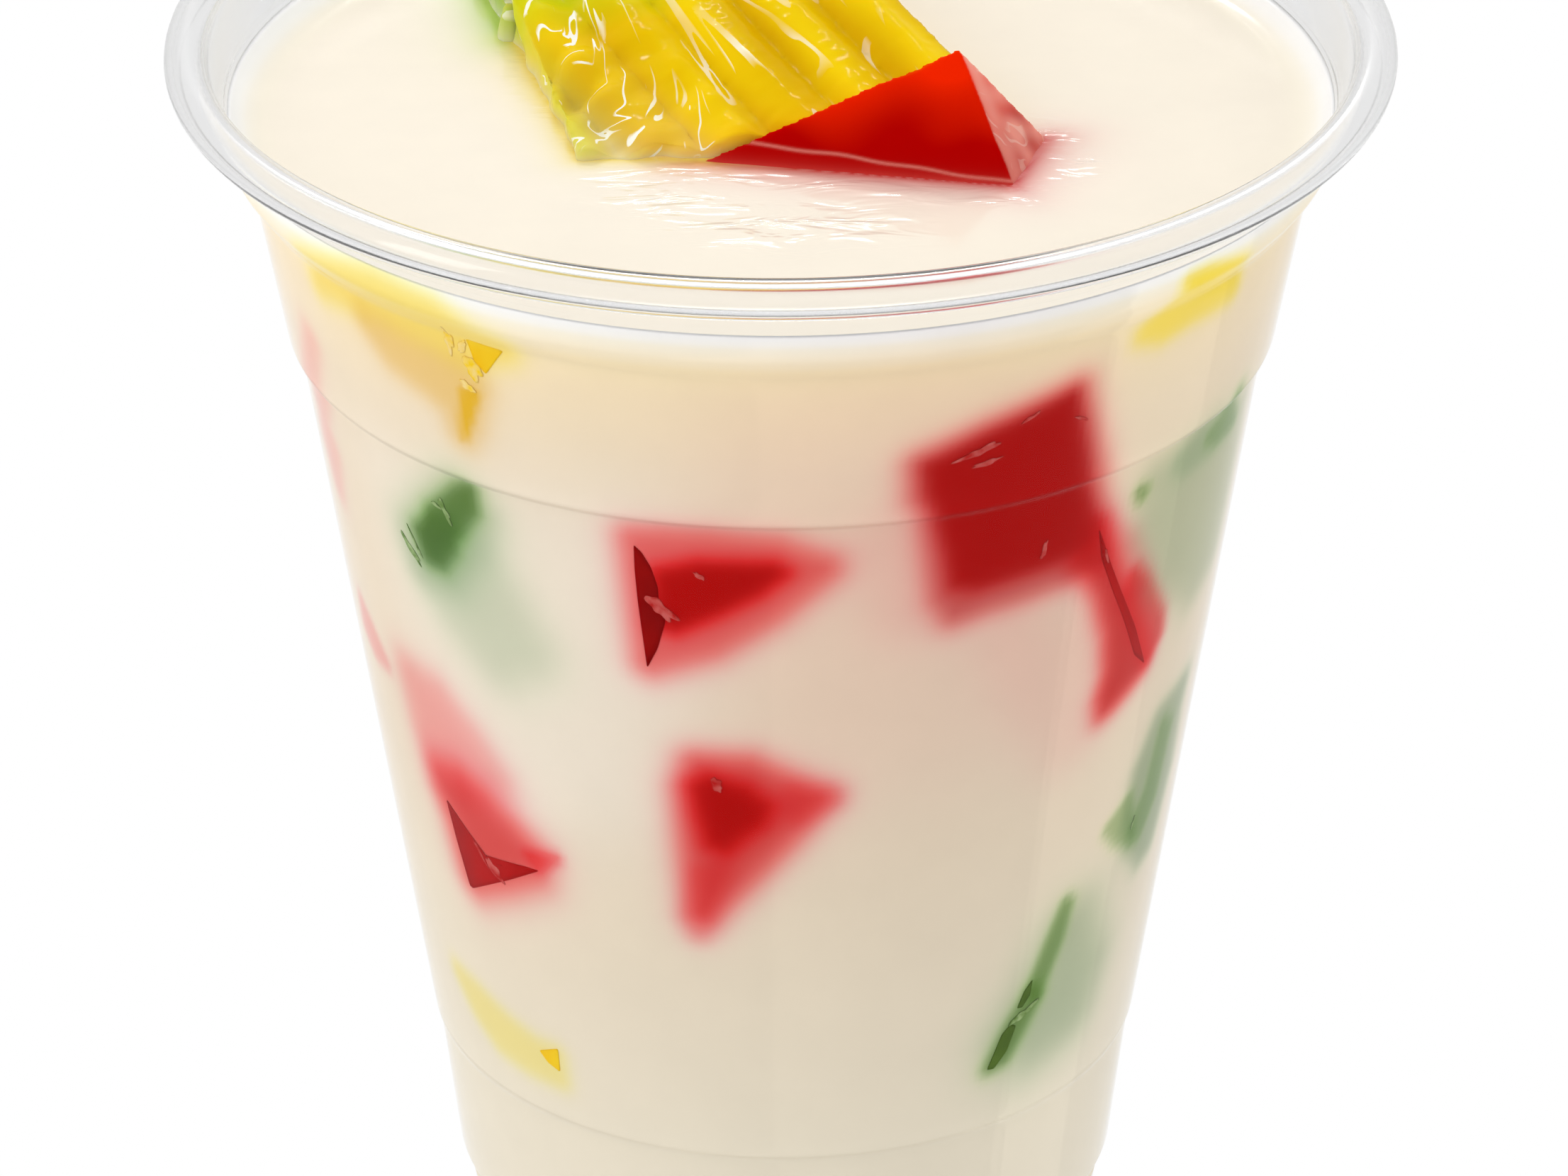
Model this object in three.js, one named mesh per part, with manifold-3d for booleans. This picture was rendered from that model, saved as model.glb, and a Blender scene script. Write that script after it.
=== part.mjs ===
// Mosaic milk-gelatin dessert in a clear plastic cup.
// Millimetres, +Z up, origin at the middle of the cup's foot, -Y is the front.
// Every gelatin block is a solid of its own, set into a pocket of the milk gelatin.

import * as THREE from 'three';
import { mergeVertices } from 'three/addons/utils/BufferGeometryUtils.js';
import Module from 'manifold-3d';

const wasm = await Module();
wasm.setup();
const { Manifold, Mesh } = wasm;

// ---------- driving sizes ----------

const DEGREE = Math.PI / 180;
const FACETS = 56; // facets round the cup, shared by the cup and its filling
const GAP = 0.3; // clearance between solids that touch

const WALL = 0.7; // cup wall
const FOOT_RADIUS = 26.2;
const FOOT_WIDTH = 1.8; // flat ring the cup stands on
const FOOT_HEIGHT = 6.6;
const FLOOR_TOP = 3.5; // the floor is pushed up inside the foot
const LEDGE = 0.8; // width of the stacking ledges above the foot and under the upper band
const BODY_BOTTOM = { radius: 27.5, height: 7.0 };
const LOW_RING = { radius: 29.1, height: 20.1 };
const HIGH_RING = { radius: 39.1, height: 82.9 };
const SHOULDER = { radius: 42.5, height: 97.2 };
const FLARE = { radius: 44.3, height: 99.5 };
const NECK = { radius: 45.5, height: 105.6 };
const RIM_RADIUS = 49;
const CUP_HEIGHT = 108;
const RIM_CURL = { width: 3.4, height: 3.2, turn: 240 * DEGREE, steps: 9 };

const MILK_LEVEL = 100.5;
const MENISCUS = { rise: 1.0, width: 3.2 }; // the milk climbs the wall

const BLOCK_COLOURS = { red: 0xb3060a, green: 0x4c7a2c, yellow: 0xe8c21c };

// Blocks that lie against the wall on the photographed side. Each face towards the wall is
// given by its corners, [across, up, depth behind the wall], from a centre at an azimuth
// (degrees from the front, + to the right) and a height. A depth under the gap is cut flush,
// so there the block touches the wall; elsewhere a film of milk lies in front of it.
const FRONT_BLOCKS = [
  { name: 'yellow_left', colour: 'yellow', azimuth: -44, height: 94, thickness: 10,
    corners: [[-8.6, 5.9, 2.8], [-6.5, 5.7, 2.5], [-0.7, 6, 2.2], [3.8, 5.6, 2], [6.4, 3, 0.25],
      [9.8, 2.9, 0.25], [7.8, 0.3, 0.25], [7.1, -2.8, 0.65], [4.4, -7.8, 1], [3.2, -1.9, 0.85],
      [-1.8, 2.5, 0.85]] },
  { name: 'green_left', colour: 'green', azimuth: -46, height: 75, thickness: 11,
    corners: [[-2.5, 0.2, 0.38], [0.8, 4.1, 0.38], [2.4, 2.4, 0.38], [-0.4, -1.9, 0.38], [-3.1, 0.4, 0.54],
      [4, 6.9, 0.54], [4.3, 4.3, 0.54], [2.3, -0.4, 0.54], [0.2, -3.1, 0.54], [-4.4, -1.1, 0.8],
      [5.1, 8.1, 0.8], [5.4, 4.7, 0.9], [0.4, -5.1, 0.9], [2.3, -9.1, 1.6], [5.8, -3.8, 1.5]] },
  { name: 'red_upper', colour: 'red', azimuth: -8, height: 74, thickness: 9,
    corners: [[-6.1, 6.3, 0.22], [-6, 1.1, 0.22], [-5.7, -5.2, 0.22], [-4.7, 2.6, 0.26],
      [-4.4, -1, 0.26], [-4, 5.2, 0.4], [-1.8, 1.7, 0.39], [-0.3, 5.7, 0.39], [2.6, 5.6, 0.39],
      [5.3, 4.1, 0.39], [4.1, 2.3, 0.39], [1.7, 0.1, 0.39], [-0.6, -1.8, 0.39], [1.7, 3, 0.39],
      [11.5, 5.1, 1.4], [-2.2, -8.5, 1.4], [0.4, 8.6, 1.2]] },
  { name: 'red_right', colour: 'red', azimuth: 28, height: 82, thickness: 11,
    corners: [[-7.9, 6.4, 0.38], [-5, 7.7, 0.25], [-0.7, 9.2, 0.25], [3.7, 10.4, 0.25], [5.3, 4.2, 0.25],
      [8.4, -3.4, 0.25], [-3, 3.2, 0.38], [1.3, 2.1, 0.38], [-7.4, 1.5, 0.38], [-6.7, -0.1, 0.38],
      [-5.2, -5.5, 0.38], [0.2, -7.3, 0.38], [5.6, -7.2, 0.38], [-2.1, -2.3, 0.38], [3.1, -3.7, 0.38],
      [-6, -11.4, 1.35], [-0.6, -12.1, 1.35], [5.6, -12.1, 1.3]] },
  { name: 'red_right_low', colour: 'red', azimuth: 49, height: 66, thickness: 9,
    corners: [[-5.1, 11.8, 0.25], [-1.7, 5, 0.25], [3.4, -4.5, 0.25], [-0.5, -5.7, 0.38],
      [-1.5, -2, 0.38], [-4.9, 5, 0.38], [-5.9, 9.1, 0.45], [4.9, -2.5, 0.65], [3, -6.4, 0.6],
      [-0.2, -8.4, 0.8], [-5.9, -0.3, 1.3], [-1.8, -10.1, 1.4], [-3, 13.9, 1.5]] },
  { name: 'yellow_right', colour: 'yellow', azimuth: 52, height: 96, thickness: 9,
    corners: [[-7.7, -0.5, 0.38], [-6.1, 0.6, 0.38], [-3.3, 3.3, 0.38], [3.8, 0.4, 0.38], [3.8, -1, 0.7],
      [-4.1, -1.1, 0.7], [-8.4, -1.1, 0.9], [5.5, 0.5, 1.2]] },
  { name: 'green_right_up', colour: 'green', azimuth: 72, height: 74, thickness: 10,
    corners: [[-0.1, 7.2, 0.5], [-3.4, 6.2, 0.4], [-7, 4.9, 0.7], [-12.2, 2.8, 1.5], [-0.4, -6, 1.6],
      [-2.5, -14, 1.9], [7, 5, 0.3], [7, -8, 1.4]] },
  { name: 'red_far_left', colour: 'red', azimuth: -79, height: 87, thickness: 8,
    corners: [[-6, 8, 0.3], [7.5, 5, 1.6], [7.7, 1.6, 0.7], [9.6, -3.5, 1.3], [7.8, -5.7, 1.2],
      [1.9, -14, 1.8], [-6, -9, 0.3]] },
  { name: 'red_left', colour: 'red', azimuth: -80, height: 58, thickness: 8,
    corners: [[-5, 9, 0.3], [4.8, 3.4, 1.6], [7.4, 0.4, 1.6], [4.7, -2, 1.7], [-4, -8, 0.3]] },
  { name: 'red_left_low', colour: 'red', azimuth: -48, height: 48, thickness: 11,
    corners: [[-3.8, 0.5, 0.25], [-3.3, -3.6, 0.25], [-2.8, -7.9, 0.25], [2.2, -4.8, 0.25],
      [6.3, -2.4, 0.25], [-1.1, 1, 0.38], [1.3, -0.6, 0.38], [3.5, -1.9, 0.38], [2.5, 3.3, 0.54],
      [5.5, -0.4, 0.54], [-4.8, 6.1, 0.85], [-0.9, 6.8, 0.8], [7.9, -1.1, 0.8], [-6.1, 10.7, 1.3],
      [9.3, -0.1, 1.3], [-0.3, 9.6, 1.3]] },
  { name: 'red_lower', colour: 'red', azimuth: -6, height: 54, thickness: 12,
    corners: [[-4.5, 2.3, 0.38], [-1.8, 5.6, 0.38], [0.1, 5.4, 0.38], [2.7, 3.6, 0.38], [4.4, 2.3, 0.38],
      [1.6, -1.7, 0.38], [-0.2, -4.2, 0.38], [-2, -6.2, 0.38], [-3.7, -1.8, 0.38],
      [-0.6, 2.4, 0.4], [-1.2, -1.5, 0.4], [2.1, 1.5, 0.4], [-6.8, 1.6, 1.3], [-4.9, 9.2, 1.3],
      [-2.5, 10.5, 1.3], [10.3, 2.4, 1.3], [6, -4.9, 1.3], [-1.5, -12.5, 1.3],
      [-3.7, -13.1, 1.3], [-5.8, -11.3, 1.3]] },
  { name: 'green_right', colour: 'green', azimuth: 64, height: 47, thickness: 9,
    corners: [[-6.7, -1.5, 0.5], [-3.1, -1.4, 0.3], [-0.6, 0.4, 0.4], [2.4, 5, 0.5], [2.7, 8.5, 0.8],
      [2.9, -8.6, 0.6]] },
  { name: 'green_right_low', colour: 'green', azimuth: 42, height: 32, thickness: 10,
    corners: [[-4.7, -5.6, 0.25], [-2.3, -1.5, 0.25], [-0.8, 2.1, 0.25], [-1.6, -4, 0.38],
      [-0.2, -2, 0.38], [0.6, 0.9, 0.38], [0.3, 3.8, 0.45], [1.9, 9.1, 0.8], [3.8, 0.1, 0.8],
      [3.4, -6.4, 0.9], [-0.5, -5.9, 0.55], [6, 4, 1.3], [8.7, -5.2, 1.4], [12.5, -0.9, 1.8],
      [6.7, -8.1, 1.5]] },
  { name: 'yellow_low', colour: 'yellow', azimuth: -48, height: 27, thickness: 9,
    corners: [[5.1, 0.8, 0.38], [4.9, -1.7, 0.38], [3.1, -0.2, 0.4], [0.4, 0.8, 0.6], [-4.3, 1.9, 0.8],
      [-8.2, 3.9, 1.8], [-4, -1.7, 1.5], [-0.5, -3.4, 1.3], [4.6, -4.2, 1.3]] },
];

// Blocks of the unseen side: shapes of the front, seen as in a mirror, in other colours.
const BACK_BLOCKS = [
  { name: 'green_back_left', like: 'yellow_left', colour: 'green', lift: -14 },
  { name: 'red_back_left', like: 'green_left', colour: 'red', lift: -13 },
  { name: 'yellow_back', like: 'red_upper', colour: 'yellow', lift: 2 },
  { name: 'green_back', like: 'red_right', colour: 'green', lift: -4 },
  { name: 'red_back_right', like: 'yellow_right', colour: 'red', lift: -7 },
  { name: 'yellow_back_left', like: 'red_left_low', colour: 'yellow', lift: -14 },
  { name: 'red_back', like: 'red_lower', colour: 'red', lift: -8 },
  { name: 'red_back_low', like: 'green_right_low', colour: 'red', lift: 8 },
];

// Corner of a red block that stands out of the milk: its tip and the run of its three edges.
const RED_TIP = [14, -7, MILK_LEVEL + 8.5];
const RED_EDGES = [
  { along: [-20.3, -2.6, -8.5], length: 24 },
  { along: [4.2, -7.4, -8.5], length: 15 },
  { along: [7, 1.5, -8.5], length: 14 },
];

// Ridged yellow slab leaning on the red block: the front end of its high right edge,
// the way its ridges run and the way across it, to the left and down.
const SLAB_CORNER = [17.6, -8.4, MILK_LEVEL + 4.6];
const SLAB_RIDGE_RUN = [-0.43, 0.88, 0.12];
const SLAB_ACROSS_RUN = [-0.87, -0.44, -0.18];
const SLAB = { length: 41, thickness: 9, ridges: 6, ridgePitch: 5.6, ridgeHeight: 1.1, steps: 6 };
const SLAB_FRONT_Y = -9.2;
const SLAB_LEFT = { through: [-16.6, -6.4], run: [-0.24, 0.97] }; // its left end, seen from above

// Lime-green block under the slab's left end, turned with it: its front left corner and sides.
const LIME_BLOCK = { corner: [-22.3, 14.3], top: MILK_LEVEL + 2.5, size: [13, 12, 10], turn: 13 * DEGREE };

// ---------- solids ----------

// three.js geometry to a manifold solid: seams of the geometry are welded by position.
function toSolid(geometry) {
  const bare = geometry.clone();
  bare.deleteAttribute('normal');
  bare.deleteAttribute('uv');
  const welded = mergeVertices(bare, 1e-4);
  return new Manifold(new Mesh({
    numProp: 3,
    vertProperties: new Float32Array(welded.attributes.position.array),
    triVerts: new Uint32Array(welded.index.array),
  }));
}

function toGeometry(solid) {
  const mesh = solid.getMesh();
  const geometry = new THREE.BufferGeometry();
  geometry.setAttribute('position', new THREE.BufferAttribute(new Float32Array(mesh.vertProperties), 3));
  geometry.setIndex(new THREE.BufferAttribute(new Uint32Array(mesh.triVerts), 1));
  geometry.computeVertexNormals();
  return geometry;
}

// Lathe about +Z of a closed profile of [radius, height] points.
function lathe(profile) {
  const points = profile.map(([radius, height]) => new THREE.Vector2(Math.max(radius, 0), height));
  return new THREE.LatheGeometry(points, FACETS).rotateX(Math.PI / 2);
}

// Convex solid round a list of corners; grown, each corner becomes a small cube.
function convex(corners, grow = 0) {
  if (grow === 0) return Manifold.hull(corners);
  const signs = [-grow, grow];
  return Manifold.hull(corners.flatMap(([x, y, z]) =>
    signs.flatMap((dx) => signs.flatMap((dy) => signs.map((dz) => [x + dx, y + dy, z + dz])))));
}

// ---------- cup ----------

// Outer wall from the foot to the neck, [radius, height].
const OUTER_WALL = [
  [FOOT_RADIUS, 0],
  [FOOT_RADIUS + 0.4, FOOT_HEIGHT],
  [BODY_BOTTOM.radius, BODY_BOTTOM.height],
  [LOW_RING.radius, LOW_RING.height],
  [LOW_RING.radius + 0.3, LOW_RING.height + 0.3],
  [HIGH_RING.radius, HIGH_RING.height],
  [HIGH_RING.radius + LEDGE, HIGH_RING.height + 0.3],
  [SHOULDER.radius, SHOULDER.height],
  [FLARE.radius, FLARE.height],
  [NECK.radius, NECK.height],
];

function interpolate(profile, height) {
  const above = profile.findIndex(([, z]) => z >= height);
  if (above < 0) return profile[profile.length - 1][0];
  if (above === 0) return profile[0][0];
  const [r0, z0] = profile[above - 1];
  const [r1, z1] = profile[above];
  return r0 + ((r1 - r0) * (height - z0)) / (z1 - z0);
}

const INNER_WALL = OUTER_WALL.slice(2).map(([radius, height]) => [radius - WALL, height]);

const innerRadius = (height) => interpolate(INNER_WALL, height);

// The rolled rim: an arc from the neck over the top, outwards and back under.
function rimArc(inset) {
  const centreRadius = RIM_RADIUS - RIM_CURL.width / 2;
  const centreHeight = CUP_HEIGHT - RIM_CURL.height / 2;
  const a = RIM_CURL.width / 2 - inset;
  const b = RIM_CURL.height / 2 - inset;
  return Array.from({ length: RIM_CURL.steps + 1 }, (_, i) => {
    const angle = Math.PI - (RIM_CURL.turn * i) / RIM_CURL.steps;
    return [centreRadius + a * Math.cos(angle), centreHeight + b * Math.sin(angle)];
  });
}

function cupProfile() {
  const inside = [
    [0, FLOOR_TOP],
    [BODY_BOTTOM.radius - WALL - 1, FLOOR_TOP],
    [BODY_BOTTOM.radius - WALL - 0.3, FLOOR_TOP + 0.7],
    ...INNER_WALL.slice(0, -1),
    [RIM_RADIUS - RIM_CURL.width, NECK.height - 0.6],
  ];
  const outside = [
    [NECK.radius + 0.5, NECK.height - 1.2],
    ...OUTER_WALL.slice(2, -1).reverse(),
    [FOOT_RADIUS + 0.4, FOOT_HEIGHT],
    [FOOT_RADIUS, 0],
    [FOOT_RADIUS - FOOT_WIDTH, 0],
    [FOOT_RADIUS - FOOT_WIDTH - 0.2, FLOOR_TOP - WALL],
    [0, FLOOR_TOP - WALL],
  ];
  return [...inside, ...rimArc(0), ...rimArc(WALL).reverse(), ...outside].reverse();
}

// ---------- milk gelatin ----------

function milkProfile() {
  const edge = MILK_LEVEL + MENISCUS.rise;
  const side = INNER_WALL.filter(([, z]) => z < MILK_LEVEL).map(([radius, height]) => [radius - GAP, height]);
  const rim = innerRadius(edge) - GAP;
  return [
    [0, FLOOR_TOP + GAP],
    [BODY_BOTTOM.radius - WALL - 1 - GAP, FLOOR_TOP + GAP],
    [BODY_BOTTOM.radius - WALL - 0.3 - GAP, FLOOR_TOP + 0.7 + GAP],
    ...side,
    [rim, edge],
    [rim - MENISCUS.width * 0.35, MILK_LEVEL + MENISCUS.rise * 0.3],
    [rim - MENISCUS.width, MILK_LEVEL],
    [0, MILK_LEVEL],
  ];
}

// ---------- blocks ----------

// Face corners of a wall block and the same corners pushed towards the cup's axis.
function blockCorners({ azimuth, height, thickness, corners }) {
  const middle = azimuth * DEGREE;
  const arcRadius = innerRadius(height);
  const face = corners.map(([across, up, depth]) => {
    const angle = middle + across / arcRadius;
    const radius = innerRadius(height + up) - depth;
    return [radius * Math.sin(angle), -radius * Math.cos(angle), height + up];
  });
  const inwards = [-thickness * Math.sin(middle), thickness * Math.cos(middle)];
  return [...face, ...face.map(([x, y, z]) => [x + inwards[0], y + inwards[1], z])];
}

function mirrored({ name, like, colour, lift }) {
  const front = FRONT_BLOCKS.find((block) => block.name === like);
  return {
    name, colour,
    azimuth: 180 - front.azimuth,
    height: front.height + lift,
    thickness: front.thickness,
    corners: front.corners.map(([across, up, depth]) => [-across, up, depth]),
  };
}

function redBlockCorners() {
  const runs = RED_EDGES.map(({ along, length }) => {
    const run = new THREE.Vector3(...along).normalize().multiplyScalar(length);
    return [run.x, run.y, run.z];
  });
  let corners = [RED_TIP];
  for (const run of runs) {
    corners = [...corners, ...corners.map((corner) => corner.map((value, axis) => value + run[axis]))];
  }
  return corners;
}

// Section of the slab across its ridges: rounded ridges on top, flat underneath.
function slabSolid() {
  const width = SLAB.ridges * SLAB.ridgePitch;
  const outline = new THREE.Shape();
  outline.moveTo(0, -SLAB.thickness);
  outline.lineTo(width, -SLAB.thickness);
  for (let i = SLAB.ridges * SLAB.steps; i >= 0; i -= 1) {
    const across = (i / SLAB.steps) * SLAB.ridgePitch;
    outline.lineTo(across, SLAB.ridgeHeight * (Math.abs(Math.sin((Math.PI * i) / SLAB.steps)) - 1));
  }
  const bar = new THREE.ExtrudeGeometry(outline, { depth: SLAB.length, bevelEnabled: false });
  const ridgeRun = new THREE.Vector3(...SLAB_RIDGE_RUN).normalize();
  const acrossRun = new THREE.Vector3(...SLAB_ACROSS_RUN);
  acrossRun.addScaledVector(ridgeRun, -acrossRun.dot(ridgeRun)).normalize();
  const up = new THREE.Vector3().crossVectors(ridgeRun, acrossRun);
  bar.applyMatrix4(new THREE.Matrix4().makeBasis(acrossRun, up, ridgeRun));
  bar.translate(...SLAB_CORNER);
  const behindRed = new THREE.Vector3(...RED_EDGES[0].along)
    .cross(new THREE.Vector3(...RED_EDGES[2].along)).normalize();
  if (behindRed.y < 0) behindRed.negate();
  const clear = behindRed.dot(new THREE.Vector3(...RED_TIP)) + GAP;
  const leftRun = new THREE.Vector2(...SLAB_LEFT.run).normalize();
  const inwards = new THREE.Vector2(leftRun.y, -leftRun.x);
  return toSolid(bar)
    .trimByPlane([0, 1, 0], SLAB_FRONT_Y)
    .trimByPlane([inwards.x, inwards.y, 0], inwards.dot(new THREE.Vector2(...SLAB_LEFT.through)))
    .trimByPlane(behindRed.toArray(), clear);
}

function limeBlockSolid() {
  const { corner, top, size, turn } = LIME_BLOCK;
  const [across, back, tall] = size;
  const block = new THREE.BoxGeometry(across, back, tall);
  block.translate(across / 2, back / 2, -tall / 2).rotateZ(turn).translate(corner[0], corner[1], top);
  return toSolid(block);
}

// A solid with a skin of the gap's thickness, to cut its pocket out of a neighbour.
function grown(solid) {
  return solid.minkowskiSum(Manifold.cube([2 * GAP, 2 * GAP, 2 * GAP], true));
}

// The largest body of a solid: a thin scrap that a cut leaves loose is dropped.
function mainBody(solid) {
  return solid.decompose().reduce((best, body) => (body.volume() > best.volume() ? body : best));
}

// ---------- assembly ----------

function material(colour, roughness, extra = {}) {
  return new THREE.MeshStandardMaterial({ color: colour, roughness, metalness: 0, ...extra });
}

const dessert = new THREE.Group();

function addPart(name, geometry, partMaterial) {
  const part = new THREE.Mesh(geometry, partMaterial);
  part.name = name;
  dessert.add(part);
}

const cupSolid = toSolid(lathe(cupProfile()));
addPart('cup', toGeometry(cupSolid), material(0xf2f4f4, 0.08, { transparent: true, opacity: 0.3 }));

// Each block is cut clear of those before it, and leaves its own pocket in the milk.
let milk = toSolid(lathe(milkProfile()));
for (const block of [...FRONT_BLOCKS, ...BACK_BLOCKS.map(mirrored)]) {
  const corners = blockCorners(block);
  const solid = mainBody(convex(corners).intersect(milk));
  milk = milk.subtract(convex(corners, GAP));
  addPart(block.name, toGeometry(solid), material(BLOCK_COLOURS[block.colour], 0.15));
}

const redCorners = redBlockCorners();
const lime = limeBlockSolid();
const limePocket = grown(lime);
const slab = mainBody(slabSolid().subtract(limePocket));

milk = milk.subtract(convex(redCorners, GAP)).subtract(grown(slabSolid())).subtract(limePocket);
addPart('red_top', toGeometry(convex(redCorners)), material(BLOCK_COLOURS.red, 0.12));
addPart('yellow_top', toGeometry(slab), material(BLOCK_COLOURS.yellow, 0.12));
addPart('green_top', toGeometry(lime), material(BLOCK_COLOURS.green, 0.12));
addPart('milk_gelatin', toGeometry(mainBody(milk)), material(0xf6ecd8, 0.3));

export default dessert;
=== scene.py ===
# Mosaic milk gelatin in a clear plastic cup, seen from above its front edge.
# Metres, +Z up; the cup stands on the origin and -Y is the front.

import math
import bpy
import numpy as np
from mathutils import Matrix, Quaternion, Vector


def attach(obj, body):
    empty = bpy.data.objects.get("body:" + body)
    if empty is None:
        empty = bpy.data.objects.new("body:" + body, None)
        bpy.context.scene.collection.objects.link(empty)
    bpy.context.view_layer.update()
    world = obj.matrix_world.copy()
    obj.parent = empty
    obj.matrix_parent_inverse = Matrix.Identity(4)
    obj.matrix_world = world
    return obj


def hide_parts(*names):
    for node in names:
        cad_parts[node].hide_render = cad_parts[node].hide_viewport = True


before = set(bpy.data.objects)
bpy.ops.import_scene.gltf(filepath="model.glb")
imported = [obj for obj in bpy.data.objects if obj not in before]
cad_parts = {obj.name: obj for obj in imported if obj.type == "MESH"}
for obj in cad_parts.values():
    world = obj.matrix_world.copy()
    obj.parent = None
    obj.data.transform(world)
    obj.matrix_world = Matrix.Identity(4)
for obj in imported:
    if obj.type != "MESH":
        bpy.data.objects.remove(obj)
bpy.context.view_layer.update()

MM = 0.001

# ---------------------------------------- camera and studio
# A long lens looks down on the cup from the front. Round the cup are a white table that runs
# out of view and a white tent; a narrow strip lamp high behind it draws the wet highlights
# and a soft box at its left adds a little light from the side.

PHOTO_WIDTH = 2212  # in pixels, as the focal length
FOCAL_LENGTH = 11763
SENSOR_WIDTH = 36.0
VIEW_TILT = math.radians(27.54)
VIEW_ROLL = math.radians(-0.21)
VIEW_DISTANCE = 686 * MM
LOOK_AT = Vector((0.1, 0.0, 57.5)) * MM

camera_data = bpy.data.cameras.new("photo_camera")
camera_data.sensor_width = SENSOR_WIDTH
camera_data.lens = SENSOR_WIDTH * FOCAL_LENGTH / PHOTO_WIDTH
camera_data.clip_start = 0.05
camera_data.clip_end = 20.0
camera = bpy.data.objects.new("photo_camera", camera_data)
bpy.context.scene.collection.objects.link(camera)
towards_camera = Vector((0.0, -math.cos(VIEW_TILT), math.sin(VIEW_TILT)))
camera.location = LOOK_AT + towards_camera * VIEW_DISTANCE
camera.rotation_mode = "QUATERNION"
camera.rotation_quaternion = (-towards_camera).to_track_quat("-Z", "Y") @ Quaternion((0, 0, 1), VIEW_ROLL)
bpy.context.scene.camera = camera
bpy.context.scene.view_settings.view_transform = "Standard"


def linear(hex_colour):
    """An sRGB hex colour as linear red, green, blue and 1."""
    channels = [int(hex_colour[i:i + 2], 16) / 255 for i in (1, 3, 5)]
    curved = [c / 12.92 if c <= 0.04045 else ((c + 0.055) / 1.055) ** 2.4 for c in channels]
    return (*curved, 1.0)


def add_node(tree, kind, links=None, **settings):
    """One shader node with its settings; links gives inputs, by name or number, a socket or value."""
    node = tree.nodes.new(kind)
    for name, value in settings.items():
        setattr(node, name, value)
    for key, source in (links or {}).items():
        if isinstance(source, bpy.types.NodeSocket):
            tree.links.new(source, node.inputs[key])
        else:
            node.inputs[key].default_value = source
    return node


def soft_box(name, place, size, power):
    """A rectangular studio lamp at a place in metres, turned to the middle of the cup."""
    lamp_data = bpy.data.lights.new(name, "AREA")
    lamp_data.shape = "RECTANGLE"
    lamp_data.size, lamp_data.size_y = size
    lamp_data.energy = power
    lamp = bpy.data.objects.new(name, lamp_data)
    bpy.context.scene.collection.objects.link(lamp)
    lamp.location = Vector(place)
    lamp.rotation_mode = "QUATERNION"
    lamp.rotation_quaternion = (LOOK_AT - lamp.location).to_track_quat("-Z", "Y")


soft_box("back_strip", (-0.10, 0.95, 0.85), (0.45, 0.025), 3.0)
soft_box("left_box", (-0.75, -0.35, 0.40), (0.30, 0.50), 1.0)

TENT_GLOW = (0.96, 0.83)  # light of the tent on matt surfaces, from its foot to its top
TABLE_GLOW = 0.89  # and of the table
MIRRORED = 0.97  # what shiny surfaces mirror of both
SEEN_THROUGH = 0.80  # both behind clear plastic


def strength_by_ray(tree, light):
    """How strongly tent or table shines: 1 for the camera, less where it is mirrored or seen
    through plastic, and its own light where a ray has left a matt surface."""
    ray = add_node(tree, "ShaderNodeLightPath")
    gloss = add_node(tree, "ShaderNodeMix", {
        "Factor": ray.outputs["Is Transmission Ray"], "A": MIRRORED, "B": SEEN_THROUGH})
    seen = add_node(tree, "ShaderNodeMix", {
        "Factor": ray.outputs["Is Glossy Ray"], "A": 1.0, "B": gloss.outputs["Result"]})
    matt = add_node(tree, "ShaderNodeMath", {0: ray.outputs["Diffuse Depth"], 1: 1.0}, operation="MINIMUM")
    strength = add_node(tree, "ShaderNodeMix", {
        "Factor": matt.outputs[0], "A": seen.outputs["Result"], "B": light})
    return strength.outputs["Result"]


world = bpy.data.worlds.new("white_tent")
bpy.context.scene.world = world
world.use_nodes = True
sky = world.node_tree
sky.nodes.clear()
sky_place = add_node(sky, "ShaderNodeTexCoord")
sky_split = add_node(sky, "ShaderNodeSeparateXYZ", {0: sky_place.outputs["Generated"]})
sky_light = add_node(sky, "ShaderNodeMapRange", {
    "Value": sky_split.outputs["Z"], "To Min": TENT_GLOW[0], "To Max": TENT_GLOW[1]})
sky_glow = add_node(sky, "ShaderNodeBackground", {
    "Color": linear("#FFFFFF"), "Strength": strength_by_ray(sky, sky_light.outputs["Result"])})
add_node(sky, "ShaderNodeOutputWorld", {"Surface": sky_glow.outputs[0]})

# The table stands off centre: the line between its two triangles stays clear of the cup.
TABLE_LEFT, TABLE_RIGHT, TABLE_DEPTH = -2.6, 1.4, 2.0
table_mesh = bpy.data.meshes.new("white_table")
table_mesh.from_pydata(
    [(TABLE_LEFT, -TABLE_DEPTH, 0), (TABLE_RIGHT, -TABLE_DEPTH, 0),
     (TABLE_RIGHT, TABLE_DEPTH, 0), (TABLE_LEFT, TABLE_DEPTH, 0)], [], [(0, 1, 2, 3)])
table = bpy.data.objects.new("white_table", table_mesh)
bpy.context.scene.collection.objects.link(table)
table_paint = bpy.data.materials.new("lit_white_table")
table_paint.use_nodes = True
tree = table_paint.node_tree
tree.nodes.clear()
table_shine = add_node(tree, "ShaderNodeEmission", {
    "Color": linear("#FFFFFF"), "Strength": strength_by_ray(tree, TABLE_GLOW)})
add_node(tree, "ShaderNodeOutputMaterial", {"Surface": table_shine.outputs[0]})
table_mesh.materials.append(table_paint)

# ---------------------------------------- cup
# Thin clear PET cup, thermoformed in one: pushed-up floor, foot, stacking ledges,
# a wider upper band, a flare and a rolled rim.

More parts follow.
